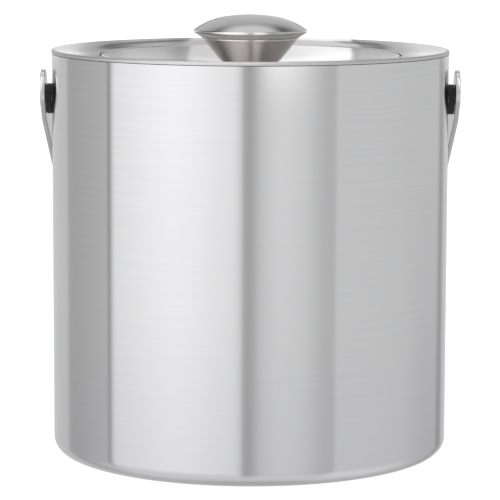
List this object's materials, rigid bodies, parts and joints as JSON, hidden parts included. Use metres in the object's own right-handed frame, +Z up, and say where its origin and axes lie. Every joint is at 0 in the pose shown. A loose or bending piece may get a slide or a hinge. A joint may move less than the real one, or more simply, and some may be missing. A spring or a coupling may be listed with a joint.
{
  "type": "ice bucket",
  "caption": "Double-wall steel ice bucket with a recessed lift-off lid, saucer-shaped knob and a flat strap bail handle that swings over the top and rests against the back.",
  "frame": {"origin": "centre of the flat underside, on the table plane", "axes": "+Z up along the bucket's axis, -Y to the front; the bail rests against the back, +Y, and its pivots lie on a line along X"},
  "size_m": [0.202, 0.2054, 0.2104],
  "materials": {
    "wall_steel": "circumferentially brushed",
    "liner_steel": "satin",
    "lid_steel": "turned satin, brushed in rings",
    "knob_steel": "warm grey satin",
    "strap_steel": "polished, edges broken",
    "spacer_plastic": "black, semi-matt",
    "fastener_steel": "bright plated steel"
  },
  "bodies": {
    "bucket": {"outer_shell": "wall_steel", "base_plate": "wall_steel", "inner_liner": "liner_steel", "spacer_left": "spacer_plastic", "spacer_right": "spacer_plastic", "pivot_screw_left": "fastener_steel", "pivot_screw_right": "fastener_steel", "backing_plate_left": "fastener_steel", "backing_plate_right": "fastener_steel", "lock_washer_left": "fastener_steel", "lock_washer_right": "fastener_steel", "pivot_nut_left": "fastener_steel", "pivot_nut_right": "fastener_steel"},
    "lid": {"lid_shell": "lid_steel", "knob_cap": "knob_steel", "knob_body": "knob_steel", "knob_insert": "fastener_steel", "knob_screw": "fastener_steel", "knob_washer": "fastener_steel"},
    "handle": {"handle_strap": "strap_steel"}
  },
  "joints": [
    {"name": "handle_swing", "type": "hinge", "parent": "bucket", "child": "handle", "pos_m": [0, 0, 0.1699], "axis": [1, 0, 0], "range_deg": [0, 270]},
    {"name": "lid_lift", "type": "slide", "parent": "bucket", "child": "lid", "axis": [0, 0, 1], "range_m": [0, 0.08]}
  ]
}
